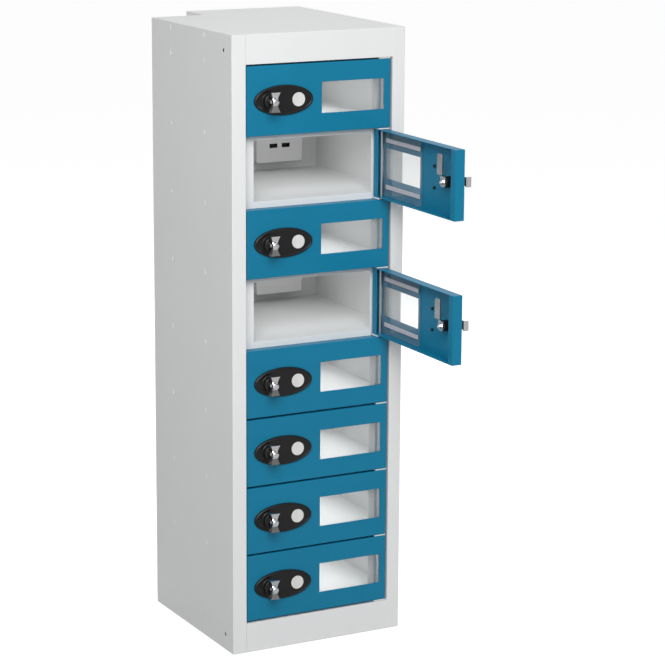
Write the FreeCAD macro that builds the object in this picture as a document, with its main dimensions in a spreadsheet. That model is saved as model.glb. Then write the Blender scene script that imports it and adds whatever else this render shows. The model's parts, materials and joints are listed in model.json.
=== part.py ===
# Device charging locker: a folded sheet-steel cabinet with eight hinged doors, a cam lock and a
# charging socket for each compartment, and a wiring duct down the back. Millimetres throughout.
# Cabinet pieces are drawn from the front face (y = 0, depth positive) and placed about the middle
# of the footprint. Door pieces are drawn from their hinge axis, lock pieces from their spindle.
import FreeCAD, Part
import os
import re
import Sketcher

SIZES = {
    # Cabinet
    "body_width": 305.0,
    "body_depth": 300.0,
    "body_height": 1000.0,
    "body_sheet": 1.0,
    "compartments": 8,
    "plinth_height": 49.5,
    "header_height": 46.5,
    "left_stile": 24.2,
    "right_stile": 22.0,
    "left_stop_depth": 19.0,
    "right_stop_depth": 23.0,
    "stop_width": 22.3,
    "cover_flange": 14.0,
    "link_hole": 6.6,
    "link_hole_depth": 30.0,
    "link_hole_inset": 26.0,
    # Shelves
    "shelf_sheet": 1.0,
    "shelf_rise": 8.5,
    "shelf_lip": 16.0,
    "shelf_flange": 19.5,
    "shelf_setback": 2.0,
    # Doors
    "door_thickness": 17.5,
    "door_sheet": 1.0,
    "door_lip": 12.5,
    "door_gap": 3.0,
    "lock_gap": 1.5,
    "swing_gap": 3.7,
    "window_width": 111.5,
    "window_height": 49.2,
    "window_inset": 11.3,
    "pane_thickness": 3.0,
    "pane_lap": 3.0,
    "pane_margin": 0.5,
    "strip_height": 7.0,
    "strip_thickness": 1.0,
    "strip_offset": 9.5,
    # Hinges
    "hinge_inset": 9.8,
    "hinge_depth": 8.5,
    "rod_diameter": 6.0,
    "lug_width": 20.0,
    "lug_thickness": 2.0,
    "lug_setback": 1.5,
    # Locks
    "plate_length": 102.5,
    "plate_height": 47.5,
    "plate_thickness": 4.0,
    "plate_inset": 63.0,
    "lock_spread": 25.2,
    "boss_diameter": 24.0,
    "boss_height": 8.0,
    "ferrule_diameter": 18.0,
    "disc_diameter": 22.0,
    "disc_thickness": 1.2,
    "peg_diameter": 5.0,
    "peg_reach": 4.0,
    "peg_spread": 17.0,
    "spindle_diameter": 9.0,
    "stem_diameter": 10.0,
    "wing_reach": 23.0,
    "wing_length": 31.0,
    "wing_width": 16.0,
    "wing_waist": 8.0,
    "wing_thickness": 7.0,
    "hub_diameter": 11.0,
    "hub_height": 4.0,
    "cam_seat": 14.5,
    "cam_width": 15.0,
    "cam_thickness": 2.5,
    "cam_reach": 45.0,
    "crank_start": 9.5,
    "crank_run": 4.5,
    "crank_rise": 6.1,
    "stud_diameter": 5.0,
    "stud_end": 1.5,
    "nut_flats": 8.0,
    "nut_height": 3.0,
    # Charging sockets and wiring
    "socket_width": 86.0,
    "socket_depth": 26.0,
    "socket_wall": 2.5,
    "socket_inset": 86.5,
    "socket_rise": 16.0,
    "faceplate_thickness": 4.0,
    "port_width": 14.5,
    "port_height": 7.0,
    "port_length": 16.0,
    "port_wall": 1.0,
    "port_spread": 11.5,
    "port_rise": 28.0,
    "tongue_width": 10.6,
    "tongue_height": 1.9,
    "tongue_recess": 1.5,
    "cable_hole": 20.0,
    "duct_width": 210.5,
    "duct_depth": 70.0,
    "duct_sheet": 1.0,
    "duct_flange": 14.0,
    "screw_diameter": 4.0,
    "screw_length": 7.0,
    "screw_head": 7.6,
    "screw_head_height": 2.0,
    "tap_width": 28.0,
    "tap_depth": 31.0,
    "trunk_diameter": 9.0,
    "trunk_setback": 17.0,
    "tail_diameter": 7.0,
    "tail_reach": 14.0,
    "terminal_level": 60.0,
    "gland_diameter": 20.0,
    "gland_flats": 24.0,
    "gland_nut": 5.0,
    "gland_reach": 20.0,
    # Fits, radial or end play
    "close_fit": 0.05,
    "running_fit": 0.08,
    "end_play": 0.3,
}
OPEN_DOORS = (2, 4)
OPEN_ANGLE = 90
UNLOCKED_TURN = 90
SCREWED_DOORS = (1, 3, 6, 8)

X_AXIS = FreeCAD.Vector(1, 0, 0)
Y_AXIS = FreeCAD.Vector(0, 1, 0)
Z_AXIS = FreeCAD.Vector(0, 0, 1)

# Places worked out from the sizes, as formulas
HALF = "(body_width / 2)"
MIDDLE = "((body_depth + duct_depth) / 2)"
PITCH = "((body_height - plinth_height - header_height - door_gap) / compartments)"
DOOR_WIDTH = "(body_width - left_stile - lock_gap - right_stile - swing_gap)"
DOOR_HEIGHT = f"({PITCH} - door_gap)"
DOOR_RIGHT = f"({HALF} - right_stile - swing_gap)"
HINGE_X = f"({DOOR_RIGHT} - hinge_inset)"
LEFT_EDGE = f"(left_stile - {HALF})"
RIGHT_EDGE = f"({HALF} - right_stile)"
LEFT_STOP = f"({LEFT_EDGE} + stop_width)"
RIGHT_STOP = f"(-{LEFT_STOP})"
INSIDE = f"({HALF} - body_sheet)"
BACK = "(body_depth - body_sheet)"
DUCT_LEFT = f"({HALF} - duct_width)"
DUCT_BACK = "(body_depth + duct_depth - duct_sheet)"
LOCK_EDGE = f"(hinge_inset - {DOOR_WIDTH})"
PLATE_X = f"({LOCK_EDGE} + plate_inset)"
SPINDLE_X = f"({PLATE_X} - lock_spread)"
DISC_X = f"({PLATE_X} + lock_spread)"
LOCK_Z = f"({DOOR_HEIGHT} / 2)"
WINDOW_X = ("hinge_inset - window_inset - window_width", "hinge_inset - window_inset")
BOSS_FACE = "(plate_thickness + boss_height)"
TRUNK_Y = f"({DUCT_BACK} - trunk_setback)"
TAP_FRONT = f"({DUCT_BACK} - tap_depth)"
SOCKET_X = f"({HALF} - socket_inset)"
SOCKET_FRONT = f"({BACK} - socket_depth)"
SOCKET_MIDDLE = "(shelf_rise + socket_rise + socket_width / 2)"

doc = FreeCAD.newDocument("charging_locker")
parts = {}


def fill_sheet():
    """Write every driving size into its own named cell."""
    sheet = doc.addObject("Spreadsheet::Sheet", "Sizes")
    for row, (alias, value) in enumerate(SIZES.items(), start=1):
        sheet.set(f"A{row}", alias)
        sheet.set(f"B{row}", str(value))
        sheet.setAlias(f"B{row}", alias)
    doc.recompute()


def formula(text):
    """Point each size named in a formula at its cell."""
    return re.sub(r"\b[a-z]\w*\b(?!\()", r"Sizes.\g<0>", text)


def tie(item, prop, text):
    item.setExpression(prop, formula(text))


def place(item, x="0", y="0", z="0"):
    for axis, text in zip("xyz", (x, y, z)):
        tie(item, f"Placement.Base.{axis}", text)
    return item


def block(name, x, y, z):
    """Box between two formulas on each axis."""
    item = doc.addObject("Part::Box", name)
    for (low, high), side in zip((x, y, z), ("Length", "Width", "Height")):
        tie(item, side, f"({high}) - ({low})")
    return place(item, x[0], y[0], z[0])


def bar(name, axis, diameter, start, end, x="0", y="0", z="0"):
    """Round bar along one axis, from start to end on it."""
    item = doc.addObject("Part::Cylinder", name)
    item.Placement.Rotation = FreeCAD.Rotation(Z_AXIS, axis)
    tie(item, "Radius", f"({diameter}) / 2")
    tie(item, "Height", f"({end}) - ({start})")
    along = {"x": X_AXIS, "y": Y_AXIS, "z": Z_AXIS}
    base = {"x": x, "y": y, "z": z}
    base.update({letter: start for letter, vector in along.items() if vector == axis})
    return place(item, **base)


def hexagon(name, axis, flats, start, length, x="0", y="0", z="0"):
    """Hexagonal prism along one axis, given across its flats."""
    outline = doc.addObject("Part::RegularPolygon", f"{name}_outline")
    outline.Polygon = 6
    outline.Placement.Rotation = FreeCAD.Rotation(Z_AXIS, axis)
    tie(outline, "Circumradius", f"({flats}) / sqrt(3)")
    base = {"x": x, "y": y, "z": z}
    base["x" if axis == X_AXIS else "y"] = start
    place(outline, **base)
    item = doc.addObject("Part::Extrusion", name)
    item.Base = outline
    item.DirMode = "Custom"
    item.Dir = axis
    item.Solid = True
    tie(item, "LengthFwd", length)
    return item


def fuse(name, pieces):
    item = doc.addObject("Part::MultiFuse", name)
    item.Shapes = pieces
    item.Refine = True
    return item


def cut(name, base, tools):
    item = doc.addObject("Part::Cut", name)
    item.Base = base
    item.Tool = tools[0] if len(tools) == 1 else fuse(f"{name}_tools", tools)
    item.Refine = True
    return item


def group(name, pieces):
    item = doc.addObject("Part::Compound", name)
    item.Links = pieces
    return item


def copy(name, source, x="0", y="0", z="0", axis=Z_AXIS, turn=0):
    """The source again, turned about an axis through its origin and moved."""
    item = group(name, [source])
    item.Placement.Rotation = FreeCAD.Rotation(axis, turn)
    return place(item, x, y, z)


def keep(item):
    """Hand a finished piece in as a sub-part under its own name."""
    item.Label = item.Name
    parts[item.Label] = item


def keep_cabinet(item):
    """A finished cabinet piece, moved from the front face to the middle of the footprint."""
    place(item, y=f"-{MIDDLE}")
    keep(item)


def span(low, size):
    """A low and a high formula, size apart."""
    return low, f"{low} + {size}"


def about(middle, size):
    """A low and a high formula, size apart about a middle."""
    return f"{middle} - ({size}) / 2", f"{middle} + ({size}) / 2"


def level(index):
    """Height of the middle of a gap between doors, counted from the plinth."""
    return f"(plinth_height + door_gap / 2 + {index} * {PITCH})"


def level_under(door):
    """Height of the gap under a door, doors counted from the top."""
    return level(SIZES["compartments"] - door)


def gaps():
    return range(SIZES["compartments"] + 1)


def doors():
    return range(1, SIZES["compartments"] + 1)


# Cabinet


def side_panel(name, left):
    x = span(f"-{HALF}", "body_sheet") if left else (INSIDE, HALF)
    plate = block(f"{name}_plate", x, ("body_sheet", BACK), ("0", "body_height"))
    holes = [
        bar(f"{name}_{end}_hole", X_AXIS, "link_hole", *x, y="link_hole_depth", z=height)
        for end, height in (("low", "link_hole_inset"), ("high", "body_height - link_hole_inset"))
    ]
    keep_cabinet(cut(name, plate, holes))


def door_post(name, stile, back, stop, depth):
    """Stile, the fold back beside the doors and the stop behind them, as one strip."""
    between_covers = ("body_sheet", "body_height - body_sheet")
    keep_cabinet(fuse(name, [
        block(f"{name}_stile", stile, ("0", "body_sheet"), ("0", "body_height")),
        block(f"{name}_fold", back, ("0", f"{depth} + body_sheet"), between_covers),
        block(f"{name}_stop", stop, span(depth, "body_sheet"), between_covers),
    ]))


def door_posts():
    left_back = (f"{LEFT_EDGE} - body_sheet", LEFT_EDGE)
    right_back = span(RIGHT_EDGE, "body_sheet")
    door_post("door_post_left", (f"-{HALF}", LEFT_EDGE), left_back,
              (left_back[0], LEFT_STOP), "left_stop_depth")
    door_post("door_post_right", (RIGHT_EDGE, HALF), right_back,
              (RIGHT_STOP, right_back[1]), "right_stop_depth")


def screw_places():
    """Where the duct is screwed on: its two flanges, behind some of the compartments."""
    inset = "(duct_sheet + duct_flange / 2)"
    for door in SCREWED_DOORS:
        for side, x in (("left", f"{DUCT_LEFT} + {inset}"), ("right", f"{HALF} - {inset}")):
            yield f"{side}_{door}", x, f"{level_under(door)} + {PITCH} / 2"


def screw_holes(name, y):
    return [
        bar(f"{name}_screw_hole_{spot}", Y_AXIS, "screw_diameter + 2 * close_fit", *y, x=x, z=z)
        for spot, x, z in screw_places()
    ]


def back_panel():
    y = (BACK, "body_depth")
    plate = block("back_plate", (f"-{HALF}", HALF), y, ("0", "body_height"))
    holes = [
        bar(f"back_cable_hole_{door}", Y_AXIS, "cable_hole", *y,
            x=SOCKET_X, z=f"{level_under(door)} + {SOCKET_MIDDLE}")
        for door in doors()
    ]
    keep_cabinet(cut("back_panel", plate, holes + screw_holes("back", y)))


def cover_panel(name, plate_z, flange_z):
    """Top or base: a plate with a flange welded to each side panel."""
    y = ("body_sheet", BACK)
    keep_cabinet(fuse(name, [
        block(f"{name}_plate", (f"-{INSIDE}", INSIDE), y, plate_z),
        block(f"{name}_left_flange", span(f"-{INSIDE}", "body_sheet"), y, flange_z),
        block(f"{name}_right_flange", (f"{INSIDE} - body_sheet", INSIDE), y, flange_z),
    ]))


def rail(name, face_z, flange_z):
    """Header or plinth: a front face with a flange back to the shelf lip."""
    x = (LEFT_EDGE, RIGHT_EDGE)
    keep_cabinet(fuse(name, [
        block(f"{name}_face", x, ("0", "body_sheet"), face_z),
        block(f"{name}_flange", x, ("0", "left_stop_depth"), flange_z),
    ]))


def shelves():
    """One shelf in each gap: plate, tongue out to the front lip, and side flanges."""
    start = "(right_stop_depth + shelf_setback)"
    mouth = (LEFT_STOP, RIGHT_STOP)
    top = "shelf_rise"
    plate_z = (f"{top} - shelf_sheet", top)
    flange_z = (f"{top} - shelf_flange", top)
    shelf = fuse("shelf", [
        block("shelf_plate", (f"-{INSIDE}", INSIDE), (start, BACK), plate_z),
        block("shelf_tongue", mouth, ("left_stop_depth", start), plate_z),
        block("shelf_front", mouth, span("left_stop_depth", "shelf_sheet"), (f"{top} - shelf_lip", top)),
        block("shelf_left", span(f"-{INSIDE}", "shelf_sheet"), (start, BACK), flange_z),
        block("shelf_right", (f"{INSIDE} - shelf_sheet", INSIDE), (start, BACK), flange_z),
    ])
    keep_cabinet(group("shelves", [copy(f"shelf_{k}", shelf, z=level(k)) for k in gaps()]))


def hinges():
    """Full-height rod, held by a lug in every gap between doors."""
    plate = block("lug_plate", about(HINGE_X, "lug_width"), ("lug_setback", "right_stop_depth"),
                  about("0", "lug_thickness"))
    hole = bar("lug_hole", Z_AXIS, "rod_diameter + 2 * close_fit", "-lug_thickness", "lug_thickness",
               x=HINGE_X, y="hinge_depth")
    lug = cut("lug", plate, [hole])
    keep_cabinet(group("hinge_lugs", [copy(f"lug_{k}", lug, z=level(k)) for k in gaps()]))
    rod = bar("hinge_rod_bar", Z_AXIS, "rod_diameter", "plinth_height", "body_height - header_height",
              x=HINGE_X, y="hinge_depth")
    keep_cabinet(group("hinge_rod", [rod]))


# Doors


def door_panel():
    """Folded tray with lips behind its lock and hinge edges."""
    front = "-hinge_depth"
    rear = "(door_thickness - hinge_depth)"
    sheet_y = span(front, "door_sheet")
    inside_z = ("door_sheet", f"{DOOR_HEIGHT} - door_sheet")
    tray = block("tray", (LOCK_EDGE, "hinge_inset"), (front, rear), ("0", DOOR_HEIGHT))
    hollow = block("tray_hollow", (f"{LOCK_EDGE} + door_sheet", "hinge_inset - door_sheet"),
                   (sheet_y[1], f"{rear} - door_sheet"), inside_z)
    mouth = block("tray_mouth", (f"{LOCK_EDGE} + door_lip", "hinge_inset - door_lip"),
                  (f"{rear} - door_sheet", rear), inside_z)
    window = block("tray_window", WINDOW_X, sheet_y, about(LOCK_Z, "window_height"))
    rod_hole = bar("tray_rod_hole", Z_AXIS, "rod_diameter + 2 * running_fit", "0", DOOR_HEIGHT)
    lock_hole = bar("tray_lock_hole", Y_AXIS, "ferrule_diameter + 2 * close_fit", *sheet_y,
                    x=SPINDLE_X, z=LOCK_Z)
    peg_holes = [
        bar(f"tray_peg_hole_{side}", Y_AXIS, "peg_diameter + 2 * close_fit", *sheet_y,
            x=DISC_X, z=f"{LOCK_Z} {sign} peg_spread")
        for side, sign in (("low", "-"), ("high", "+"))
    ]
    return cut("door_panel", tray, [hollow, mouth, window, rod_hole, lock_hole] + peg_holes)


def door_pane():
    """Clear pane behind the window, with a holding strip above and below it."""
    seat = "(door_sheet - hinge_depth)"
    margin = "(door_sheet + pane_margin)"
    strip_y = span(f"({seat} + pane_thickness)", "strip_thickness")
    reach = "(window_height / 2 + strip_offset)"
    pane = block("pane", (f"{WINDOW_X[0]} - pane_lap", f"{WINDOW_X[1]} + pane_lap"),
                 span(seat, "pane_thickness"), (margin, f"{DOOR_HEIGHT} - {margin}"))
    strips = [
        block("strip_high", WINDOW_X, strip_y, span(f"{LOCK_Z} + {reach}", "strip_height")),
        block("strip_low", WINDOW_X, strip_y, (f"{LOCK_Z} - {reach} - strip_height", f"{LOCK_Z} - {reach}")),
    ]
    return group("door_pane", [pane] + strips)


def lock_plate():
    """Oval plate with the lock's boss and ferrule, and the number disc pressed into it."""
    face = "-hinge_depth"
    front = f"({face} - plate_thickness)"
    oval = doc.addObject("Part::Ellipse", "plate_outline")
    oval.Placement.Rotation = FreeCAD.Rotation(X_AXIS, 90)
    tie(oval, "MajorRadius", "plate_length / 2")
    tie(oval, "MinorRadius", "plate_height / 2")
    place(oval, PLATE_X, face, LOCK_Z)
    slab = doc.addObject("Part::Extrusion", "plate_slab")
    slab.Base = oval
    slab.DirMode = "Custom"
    slab.Dir = -Y_AXIS
    slab.Solid = True
    tie(slab, "LengthFwd", "plate_thickness")
    boss = bar("plate_boss", Y_AXIS, "boss_diameter", f"{face} - {BOSS_FACE}", face, x=SPINDLE_X, z=LOCK_Z)
    ferrule = bar("plate_ferrule", Y_AXIS, "ferrule_diameter", face, f"{face} + cam_seat - end_play",
                  x=SPINDLE_X, z=LOCK_Z)
    pegs = [
        bar(f"plate_peg_{side}", Y_AXIS, "peg_diameter", face, f"{face} + peg_reach",
            x=DISC_X, z=f"{LOCK_Z} {sign} peg_spread")
        for side, sign in (("low", "-"), ("high", "+"))
    ]
    bore = bar("plate_bore", Y_AXIS, "spindle_diameter + 2 * running_fit", f"{face} - {BOSS_FACE}",
               f"{face} + cam_seat", x=SPINDLE_X, z=LOCK_Z)
    disc_y = span(front, "disc_thickness")
    recess = bar("disc_recess", Y_AXIS, "disc_diameter + 2 * close_fit", *disc_y, x=DISC_X, z=LOCK_Z)
    disc = bar("number_disc", Y_AXIS, "disc_diameter", *disc_y, x=DISC_X, z=LOCK_Z)
    plate = cut("plate", fuse("plate_body", [slab, boss, ferrule] + pegs), [bore, recess])
    return group("lock_plate", [plate, disc])


def lock_turn():
    """Waisted wing on a stem, with the spindle and threaded stud behind it."""
    wing_y = ("-wing_reach", "wing_thickness - wing_reach")
    waist_cut = "((wing_width - wing_waist) / 2)"
    waist_radius = f"((wing_length ^ 2 / 4 + {waist_cut} ^ 2) / (2 * {waist_cut}))"
    slab = block("wing_slab", about("0", "wing_length"), wing_y, about("0", "wing_width"))
    waists = [
        bar(f"wing_waist_{side}", Y_AXIS, f"2 * {waist_radius}", *wing_y,
            z=f"{sign} (wing_waist / 2 + {waist_radius})")
        for side, sign in (("low", "-"), ("high", "0 +"))
    ]
    base = f"(0 - {BOSS_FACE} - end_play)"
    stud_end = "cam_seat + cam_thickness + nut_height + stud_end"
    return fuse("lock_turn", [
        cut("wing", slab, waists),
        bar("wing_hub", Y_AXIS, "hub_diameter", "0 - wing_reach - hub_height", "0 - wing_reach"),
        bar("wing_stem", Y_AXIS, "stem_diameter", wing_y[1], base),
        bar("wing_spindle", Y_AXIS, "spindle_diameter", base, "cam_seat"),
        bar("wing_stud", Y_AXIS, "stud_diameter", "cam_seat", stud_end),
    ])


def cam_outline():
    """Edge view of the cranked cam, as (depth, height) formulas round its outline."""
    near = "cam_seat"
    far = "(cam_seat + crank_rise)"
    crank_end = "(crank_start + crank_run)"
    shift = "(cam_thickness * (sqrt(crank_run ^ 2 + crank_rise ^ 2) - crank_run) / crank_rise)"
    near_back = f"({near} + cam_thickness)"
    far_back = f"({far} + cam_thickness)"
    return [
        (near, "-cam_width / 2"), (near, "crank_start"), (far, crank_end), (far, "cam_reach"),
        (far_back, "cam_reach"), (far_back, f"{crank_end} - {shift}"),
        (near_back, f"crank_start - {shift}"), (near_back, "-cam_width / 2"),
    ]


def outline_sketch(body, name, plane_role, points):
    """Closed outline with every corner held to its formulas."""
    plane = next(item for item in body.Origin.OriginFeatures if item.Role == plane_role)
    sketch = body.newObject("Sketcher::SketchObject", name)
    sketch.AttachmentSupport = [(plane, "")]
    sketch.MapMode = "FlatFace"
    sheet = doc.getObject("Sizes")
    corners = [
        FreeCAD.Vector(*(float(sheet.evalExpression(formula(text))) for text in point), 0)
        for point in points
    ]
    for start, end in zip(corners, corners[1:] + corners[:1]):
        sketch.addGeometry(Part.LineSegment(start, end))
    for index, (point, corner) in enumerate(zip(points, corners)):
        following = (index + 1) % len(points)
        sketch.addConstraint(Sketcher.Constraint("Coincident", index, 2, following, 1))
        for kind, text, value in zip(("DistanceX", "DistanceY"), point, corner):
            number = sketch.addConstraint(Sketcher.Constraint(kind, -1, 1, index, 1, value))
            tie(sketch, f"Constraints[{number}]", text)
    return sketch


def lock_cam():
    """Cranked cam that swings behind the left stop, and the nut that holds it."""
    body = doc.addObject("PartDesign::Body", "cam_strip")
    pad = body.newObject("PartDesign::Pad", "cam_pad")
    pad.Profile = outline_sketch(body, "cam_sketch", "YZ_Plane", cam_outline())
    pad.Midplane = True
    tie(pad, "Length", "cam_width")
    hole = bar("cam_hole", Y_AXIS, "stud_diameter + 2 * close_fit", "cam_seat", "cam_seat + cam_thickness")
    cam = cut("cam", body, [hole])
    nut_seat = "cam_seat + cam_thickness"
    nut = cut("nut", hexagon("nut_blank", Y_AXIS, "nut_flats", nut_seat, "nut_height"), [
        bar("nut_bore", Y_AXIS, "stud_diameter + 2 * close_fit", nut_seat, f"{nut_seat} + nut_height"),
    ])
    return group("lock_cam", [cam, nut])


def door_pieces():
    """Every door with its pane and lock, closed or standing open."""
    fixed = {"door_panel": door_panel(), "door_pane": door_pane(), "lock_plate": lock_plate()}
    turning = {"lock_turn": lock_turn(), "lock_cam": lock_cam()}
    spindle = {"x": SPINDLE_X, "y": "-hinge_depth", "z": LOCK_Z}
    shut = {
        name: copy(f"{name}_shut", source, **spindle, axis=Y_AXIS, turn=UNLOCKED_TURN)
        for name, source in turning.items()
    }
    ajar = {name: copy(f"{name}_ajar", source, **spindle) for name, source in turning.items()}
    for door in doors():
        is_open = door in OPEN_DOORS
        pieces = {**fixed, **(ajar if is_open else shut)}
        for name, source in pieces.items():
            keep(copy(f"{name}_{door}", source, x=HINGE_X, y=f"hinge_depth - {MIDDLE}",
                      z=f"{level_under(door)} + door_gap / 2", turn=OPEN_ANGLE if is_open else 0))


# Charging sockets and wiring


def per_compartment(name, source):
    keep_cabinet(group(name, [
        copy(f"{name}_{door}", source, z=level_under(door)) for door in doors()
    ]))


def ports():
    """Middle of each charging port on a faceplate."""
    height = "(shelf_rise + socket_rise + port_rise)"
    for side, sign in (("left", "-"), ("right", "+")):
        yield side, f"({SOCKET_X} {sign} port_spread)", height


def sockets():
    """Surface box on the back panel, faceplate and two charging ports per compartment."""
    x = about(SOCKET_X, "socket_width")
    z = about(SOCKET_MIDDLE, "socket_width")
    inner_x = about(SOCKET_X, "socket_width - 2 * socket_wall")
    inner_z = about(SOCKET_MIDDLE, "socket_width - 2 * socket_wall")
    case = cut("socket_case", block("socket_blank", x, (SOCKET_FRONT, BACK), z), [
        block("socket_hollow", inner_x, (SOCKET_FRONT, f"{BACK} - socket_wall"), inner_z),
        bar("socket_cable_hole", Y_AXIS, "cable_hole", f"{BACK} - socket_wall", BACK,
            x=SOCKET_X, z=SOCKET_MIDDLE),
    ])
    per_compartment("socket_boxes", case)
    front = f"({SOCKET_FRONT} - faceplate_thickness)"
    slots = [
        block(f"slot_{side}", about(px, "port_width + 2 * close_fit"), (front, SOCKET_FRONT),
              about(pz, "port_height + 2 * close_fit"))
        for side, px, pz in ports()
    ]
    plate = cut("faceplate", block("faceplate_blank", x, (front, SOCKET_FRONT), z), slots)
    per_compartment("socket_plates", plate)
    per_compartment("usb_ports", group("port_pair", [port(*place_of, front) for place_of in ports()]))


def port(side, px, pz, front):
    """Port shell with a contact tongue standing in it."""
    back = f"({front} + port_length)"
    shell = cut(f"port_shell_{side}", block(f"port_blank_{side}", about(px, "port_width"), (front, back),
                                            about(pz, "port_height")), [
        block(f"port_hollow_{side}", about(px, "port_width - 2 * port_wall"),
              (front, f"{back} - 2 * port_wall"), about(pz, "port_height - 2 * port_wall")),
    ])
    tongue = block(f"port_tongue_{side}", about(px, "tongue_width"),
                   (f"{front} + tongue_recess", f"{back} - port_wall"), about(pz, "tongue_height"))
    return fuse(f"port_{side}", [shell, tongue])


def rear_duct():
    """Wiring duct: a tray turned against the back panel, with flanges for its screws."""
    x = (DUCT_LEFT, HALF)
    y = ("body_depth", "body_depth + duct_depth")
    inner_x = (f"{DUCT_LEFT} + duct_sheet", f"{HALF} - duct_sheet")
    inner_z = ("duct_sheet", "body_height - duct_sheet")
    mouth_x = (f"{inner_x[0]} + duct_flange", f"{inner_x[1]} - duct_flange")
    flange_y = span("body_depth", "duct_sheet")
    tray = block("duct_tray", x, y, ("0", "body_height"))
    hollow = block("duct_hollow", inner_x, (flange_y[1], DUCT_BACK), inner_z)
    mouth = block("duct_mouth", mouth_x, flange_y, inner_z)
    entry = bar("duct_entry", X_AXIS, "gland_diameter + 2 * close_fit", DUCT_LEFT, inner_x[0],
                y=TRUNK_Y, z="terminal_level")
    keep_cabinet(cut("rear_duct", tray, [hollow, mouth, entry] + screw_holes("duct", flange_y)))


def duct_screws():
    keep_cabinet(group("duct_screws", [
        fuse(f"screw_{spot}", [
            bar(f"screw_head_{spot}", Y_AXIS, "screw_head", f"{BACK} - screw_head_height", BACK, x=x, z=z),
            bar(f"screw_shank_{spot}", Y_AXIS, "screw_diameter", BACK, f"{BACK} + screw_length", x=x, z=z),
        ])
        for spot, x, z in screw_places()
    ]))


def tap_levels():
    """Heights of the terminal block and of the tap behind every socket."""
    yield "terminal", "terminal_level"
    for door in doors():
        yield f"tap_{door}", f"{level_under(door)} + {SOCKET_MIDDLE}"


def wiring():
    """Tap connectors on the duct's back wall, the trunk through them and a tail to each socket."""
    x = about(SOCKET_X, "tap_width")
    bore = "trunk_diameter + 2 * close_fit"
    keep_cabinet(group("tap_connectors", [
        cut(name, block(f"{name}_block", x, (TAP_FRONT, DUCT_BACK), about(z, "tap_width")), [
            bar(f"{name}_bore", Z_AXIS, bore, *about(z, "tap_width"), x=SOCKET_X, y=TRUNK_Y),
        ])
        for name, z in tap_levels()
    ]))
    levels = dict(tap_levels())
    top_tap = levels["tap_1"]
    tails = [
        bar(f"tail_{name}", Y_AXIS, "tail_diameter", f"{SOCKET_FRONT} + tail_reach", TAP_FRONT,
            x=SOCKET_X, z=z)
        for name, z in levels.items() if name != "terminal"
    ]
    trunk = bar("trunk", Z_AXIS, "trunk_diameter", "terminal_level - tap_width / 2",
                f"{top_tap} + tap_width / 2", x=SOCKET_X, y=TRUNK_Y)
    feed = bar("feed", X_AXIS, "trunk_diameter", f"{DUCT_LEFT} + duct_sheet", x[0],
               y=TRUNK_Y, z="terminal_level")
    keep_cabinet(group("supply_cable", [trunk, feed] + tails))


def mains_gland():
    """Gland in the duct's side where the mains lead comes in."""
    place_at = {"y": TRUNK_Y, "z": "terminal_level"}
    nut_start = f"{DUCT_LEFT} - gland_nut"
    blank = fuse("gland_blank", [
        hexagon("gland_hexagon", X_AXIS, "gland_flats", nut_start, "gland_nut", **place_at),
        bar("gland_dome", X_AXIS, "gland_diameter", f"{DUCT_LEFT} - gland_reach", nut_start, **place_at),
        bar("gland_thread", X_AXIS, "gland_diameter", DUCT_LEFT, f"{DUCT_LEFT} + duct_sheet", **place_at),
    ])
    bore = bar("gland_bore", X_AXIS, "trunk_diameter + 2 * close_fit", f"{DUCT_LEFT} - gland_reach",
               f"{DUCT_LEFT} + duct_sheet", **place_at)
    keep_cabinet(cut("mains_gland", blank, [bore]))


def build():
    fill_sheet()
    side_panel("side_panel_left", left=True)
    side_panel("side_panel_right", left=False)
    door_posts()
    back_panel()
    cover_panel("top_panel", ("body_height - body_sheet", "body_height"),
                ("body_height - cover_flange", "body_height"))
    cover_panel("base_panel", ("0", "body_sheet"), ("0", "cover_flange"))
    header_low = "body_height - header_height"
    rail("header_rail", (header_low, "body_height"), span(header_low, "body_sheet"))
    rail("plinth_rail", ("0", "plinth_height"), ("plinth_height - body_sheet", "plinth_height"))
    shelves()
    hinges()
    door_pieces()
    sockets()
    rear_duct()
    duct_screws()
    wiring()
    mains_gland()
    doc.recompute()


def check():
    """Stop before anything is written if an object failed or a shape is bad."""
    failed = [item.Name for item in doc.Objects if {"Invalid", "Error"} & set(item.State)]
    bad = [name for name, item in parts.items() if item.Shape.isNull() or not item.Shape.isValid()]
    empty = [name for name, item in parts.items() if name not in bad and item.Shape.Volume <= 0]
    if failed or bad or empty:
        raise RuntimeError(f"failed {failed}, bad shapes {bad}, empty {empty}")


def write():
    os.makedirs("parts", exist_ok=True)
    for name, item in parts.items():
        item.Shape.exportStep(f"parts/{name}.step")
        print(name, len(item.Shape.Solids), "solids", round(item.Shape.Volume / 1000, 2), "cm3")


build()
check()
write()
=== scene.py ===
"""Looks of the charging locker: painted steel cabinet, eight doors with turn locks, sockets and wiring."""

import json
import logging
import math
from collections.abc import Callable, Iterator, Sequence
from contextlib import contextmanager
from dataclasses import dataclass
from enum import Enum, IntEnum
from itertools import pairwise

import bmesh
import bpy
from mathutils import Matrix, Vector

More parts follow.
